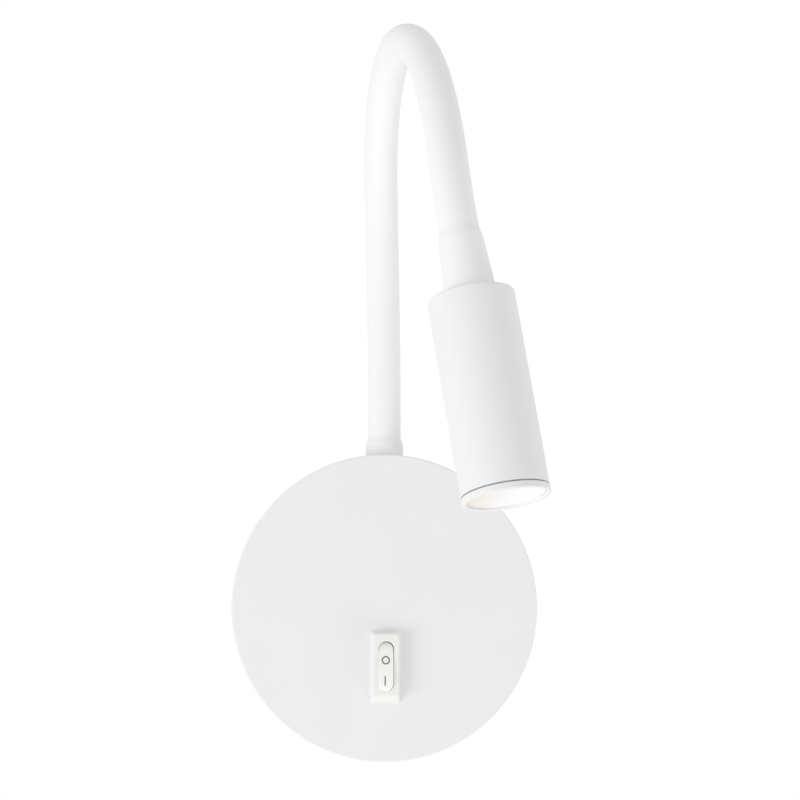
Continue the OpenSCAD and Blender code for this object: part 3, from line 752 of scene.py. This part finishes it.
def roundedLoop(bm, radius, wide, high, y, lift):
    sides = switch["loopSides"]
    turn = faceWall @ Matrix.Rotation(math.pi / sides, 4, "Z")
    verts = bmesh.ops.create_circle(bm, segments=sides, radius=radius * mm, matrix=turn)["verts"]
    for vert in verts:
        vert.co.x += math.copysign((wide / 2 - radius) * mm, vert.co.x)
        vert.co.z += math.copysign((high / 2 - radius) * mm, vert.co.z) + lift * mm
        vert.co.y = y * mm
    return list(dict.fromkeys(edge for vert in verts for edge in vert.link_edges))


def stretchLoop(bm, edges, wide, high, y, lift):
    # extrudes a loop of edges to a new width, height, depth and middle
    verts, edges = grow(bm, edges)
    low, top = min(v.co.z for v in verts), max(v.co.z for v in verts)
    widest = max(v.co.x for v in verts)
    for vert in verts:
        vert.co.x *= wide * mm / 2 / widest
        vert.co.z = ((vert.co.z - low) / (top - low) - 0.5) * high * mm + lift * mm
        vert.co.y = y * mm
    return edges


def makeBezel():
    bm = bmesh.new()
    rim = roundedLoop(bm, switch["corner"], *switch["front"])
    mouth = roundedLoop(bm, switch["wellMouth"][0] / 2, *switch["wellMouth"])
    bmesh.ops.bridge_loops(bm, edges=rim + mouth)
    outer = rim
    for stage in ("foot", "waist", "back"):
        outer = stretchLoop(bm, outer, *switch[stage])
    bmesh.ops.edgeloop_fill(bm, edges=outer)
    well = mouth
    for stage in ("wellWaist", "wellFloor"):
        well = stretchLoop(bm, well, *switch[stage])
    bmesh.ops.edgeloop_fill(bm, edges=well)
    bmesh.ops.recalc_face_normals(bm, faces=bm.faces)
    roundEdges(bm, rim, switch["edge"], switch["edgeSegments"])
    roundEdges(bm, [e for e in mouth if e.is_valid], switch["lip"], switch["lipSegments"])
    bmesh.ops.translate(bm, vec=(0, 0, switch["pivot"][2] * mm), verts=bm.verts)
    fit(finishPiece("switchBezel", bm, switchPlastic), "base", "switch_housing")


rocker = {
    "width": 5.8,
    "height": 18.8,  # at the bezel's front
    "play": (-0.08, 0, -0.22),  # how it lies in its well
    "rings": (1.6, 0.2, -1.1),  # from behind the pivot to in front of it
    "pivotDeep": 2.4,  # behind the bezel's front
    "crown": 3.2,  # in front of the pivot
    "crownRadius": 60.0,
    "endFrom": 6.0,  # its ends fall away from here
    "endFall": 0.9,
    "strip": 0.8,  # width of the strips that follow the crown
    "tilt": 6.0,  # degrees
    "edge": 0.3,
    "settles": 3,  # passes in which the crown and the round ends meet
}
marks = {
    "up": {"off": 2.35, "on": -5.6},  # from the rocker's middle
    "aside": {"off": -0.1, "on": -0.35},
    "ring": (1.64, 1.12),  # outside and inside radius
    "ringSides": 64,
    "bar": (0.53, 3.66),  # width and height
    "barCorner": 0.15,
    "barSegments": 4,
    "barStrips": 8,
    "ink": 0.05,
}


def rockerFront(z):  # how far the rocker's face stands in front of its pivot, in and out in mm
    past = max(0, abs(z) - rocker["endFrom"]) / (rocker["height"] / 2 - rocker["endFrom"])
    dome = rocker["crownRadius"] - math.sqrt(rocker["crownRadius"] ** 2 - z * z)
    return rocker["crown"] - (dome + rocker["endFall"] * past**2)


def rockerPlace():  # at rest the upper half is pressed in
    place = Vector(switch["pivot"]) + Vector(rocker["play"])
    return Matrix.Translation(place * mm) @ Matrix.Rotation(math.radians(-rocker["tilt"]), 4, "X")


def cutLevels(bm, geom, levels):
    # cuts the geometry across at each height
    for level in levels:
        cut = bmesh.ops.bisect_plane(bm, geom=geom, plane_co=(0, 0, level * mm), plane_no=(0, 0, 1))
        geom = cut["geom"]


def makeRocker():
    size = rocker["width"], rocker["height"]
    bm = bmesh.new()
    loop = roundedLoop(bm, rocker["width"] / 2, *size, rocker["rings"][0], 0)
    bmesh.ops.edgeloop_fill(bm, edges=loop)
    for y in rocker["rings"][1:] + (-rocker["crown"],):
        loop = stretchLoop(bm, loop, *size, y, 0)
    face = bmesh.ops.edgeloop_fill(bm, edges=loop)["faces"]
    count = int(rocker["height"] / 2 / rocker["strip"])
    levels = [n * rocker["strip"] for n in range(-count, count + 1)]
    cutLevels(bm, face + loop + list(dict.fromkeys(v for e in loop for v in e.verts)), levels)
    front = {v for v in bm.verts if abs(v.co.y + rocker["crown"] * mm) < onLevel}

    def onFront(element):
        return front.issuperset(element.verts)

    rim = [e for e in bm.edges if onFront(e) and sum(map(onFront, e.link_faces)) == 1]
    straight = (rocker["height"] - rocker["width"]) / 2 * mm
    for vert in bm.verts:
        swing = vert.co.z**2 + (rocker["pivotDeep"] * mm) ** 2  # its ends are arcs about the pivot
        for _ in range(rocker["settles"]):
            if vert in front:
                vert.co.y = -rockerFront(vert.co.z / mm) * mm
            if abs(vert.co.z) > straight:
                vert.co.z = math.copysign(math.sqrt(swing - vert.co.y**2), vert.co.z)
    bmesh.ops.recalc_face_normals(bm, faces=bm.faces)
    roundEdges(bm, rim, rocker["edge"], switch["edgeSegments"])
    bmesh.ops.transform(bm, matrix=rockerPlace(), verts=bm.verts)
    fit(finishPiece("rockerKey", bm, rockerPlastic), "rocker", "rocker")


def placeMark(name, bm, side):
    bmesh.ops.translate(bm, vec=(marks["aside"][side] * mm, 0, marks["up"][side] * mm), verts=bm.verts)
    for vert in bm.verts:
        vert.co.y -= rockerFront(vert.co.z / mm) * mm  # the print follows the crowned face
    bmesh.ops.transform(bm, matrix=rockerPlace(), verts=bm.verts)
    piece = finishPiece(name, bm, markInk)
    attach(piece, "rocker")


def makeOffMark():
    bm = bmesh.new()
    for radius in marks["ring"]:
        bmesh.ops.create_circle(bm, segments=marks["ringSides"], radius=radius * mm, matrix=faceWall)
    bmesh.ops.bridge_loops(bm, edges=list(bm.edges))
    bmesh.ops.solidify(bm, geom=list(bm.faces), thickness=marks["ink"] * mm)
    placeMark("offMark", bm, "off")


def makeOnMark():
    wide, high = marks["bar"]
    bm = bmesh.new()
    bmesh.ops.create_cube(bm, size=1, matrix=Matrix.Diagonal((wide * mm, marks["ink"] * mm, high * mm, 1)))
    upright = [e for e in bm.edges if abs(e.verts[0].co.y - e.verts[1].co.y) > onLevel]
    roundEdges(bm, upright, marks["barCorner"], marks["barSegments"])
    strips = marks["barStrips"]
    levels = [(n / strips - 0.5) * high for n in range(1, strips)]
    cutLevels(bm, list(bm.verts) + list(bm.edges) + list(bm.faces), levels)
    placeMark("onMark", bm, "on")


makeBezel()
makeRocker()
makeOffMark()
makeOnMark()
print("switch fitted")


# Inner parts keep their CAD shape and get their finish
innerFinish = {
    zincPlate: ["backplate", "lock_washer", "neck_nut", "head_nut", "driver_screws", "earth_tag"]
    + ["earth_screw", "pivot_pin", "plunger_spring", "led_screws"],
    blackSteel: ["canopy_screws"],
    grommetRubber: ["cable_grommet"],
    casePlastic: ["driver_case"],
    blockPlastic: ["terminal_block"],
    brass: ["terminal_screws", "pivot_terminal", "load_terminal", "contact_plunger", "contact_lever"],
    sinkAluminium: ["heat_sink"],
    boardMask: ["led_board"],
    phosphor: ["led_emitter"],
    linkSteel: [f"neck_core_{link:02d}" for link in range(1, neck["links"] + 1)],
}
for finish, nodes in innerFinish.items():
    for node in nodes:
        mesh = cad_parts[node].data
        mesh.materials.clear()
        mesh.materials.append(finish)
print("inner parts finished")


# Studio: a white room, a soft key from the left, a softer fill from the lower right, a pale floor far below
studio = {
    "ambient": 0.785,  # share of white that falls on the object from all round
    "aim": (0, -60, 60),
    "key": {"place": (-1248, -892, -500), "size": 900.0, "power": 8.2},  # watts
    "fill": {"place": (828, -276, -780), "size": 750.0, "power": 2.9},
    "floorAt": -1100.0,
    "floorRadius": 2200.0,
    "floorSides": 96,
    "floorFade": (700.0, 2100.0),  # from the middle, where it starts to clear and where it is gone
    "floorColour": "#F6F6F5",
    "floorRoughness": 0.9,
}


def makeWorld():
    world = bpy.data.worlds.new("whiteRoom")
    world.use_nodes = True
    tree = world.node_tree
    tree.nodes.clear()
    path = addNode(tree, "ShaderNodeLightPath")
    seen = path.outputs["Is Camera Ray"]  # 1 for what is seen, 0 for the light that falls on the object
    for ray in ("Is Glossy Ray", "Is Transmission Ray"):
        either = {0: seen, 1: path.outputs[ray]}
        seen = addNode(tree, "ShaderNodeMath", {"operation": "MAXIMUM"}, either).outputs[0]
    white = (1, 1, 1, 1)
    falling = addNode(tree, "ShaderNodeBackground", inputs={"Color": white, "Strength": studio["ambient"]})
    backdrop = addNode(tree, "ShaderNodeBackground", inputs={"Color": white, "Strength": 1.0})
    both = {0: seen, 1: falling.outputs[0], 2: backdrop.outputs[0]}
    room = addNode(tree, "ShaderNodeMixShader", inputs=both)
    addNode(tree, "ShaderNodeOutputWorld", inputs={"Surface": room.outputs[0]})
    bpy.context.scene.world = world


def makeSoftbox(name):
    box = studio[name]
    data = bpy.data.lights.new(name, "AREA")
    data.shape = "DISK"
    data.size = box["size"] * mm
    data.energy = box["power"]
    lamp = bpy.data.objects.new(name, data)
    bpy.context.scene.collection.objects.link(lamp)
    lamp.location = Vector(box["place"]) * mm
    away = (Vector(studio["aim"]) - Vector(box["place"])).normalized()
    lamp.rotation_euler = away.to_track_quat("-Z", "Y").to_euler()
    lamp.visible_camera = False


def makeFloor():
    middle = Vector((0, 0, studio["floorAt"])) * mm
    bm = bmesh.new()
    bmesh.ops.create_circle(
        bm,
        cap_ends=True,
        segments=studio["floorSides"],
        radius=studio["floorRadius"] * mm,
        matrix=Matrix.Translation(middle),
    )
    paint = {"Base Color": linear(studio["floorColour"]), "Roughness": studio["floorRoughness"]}
    finish, tree, shader, spot = startMaterial("paleFloor", paint)
    out = addNode(tree, "ShaderNodeVectorMath", {"operation": "DISTANCE"}, {0: spot, 1: middle})
    near, far = studio["floorFade"]
    reach = {"Value": out.outputs["Value"], "From Min": near * mm, "From Max": far * mm}
    fade = addNode(tree, "ShaderNodeMapRange", {"interpolation_type": "SMOOTHSTEP"}, reach)
    clear = addNode(tree, "ShaderNodeBsdfTransparent")
    mixed = {0: fade.outputs[0], 1: shader.outputs[0], 2: clear.outputs[0]}
    faded = addNode(tree, "ShaderNodeMixShader", inputs=mixed)
    tree.links.new(faded.outputs[0], tree.nodes["result"].inputs["Surface"])
    finishPiece("floor", bm, finish)


makeWorld()
makeSoftbox("key")
makeSoftbox("fill")
makeFloor()
bpy.context.scene.view_settings.view_transform = "Standard"
print("studio lit")
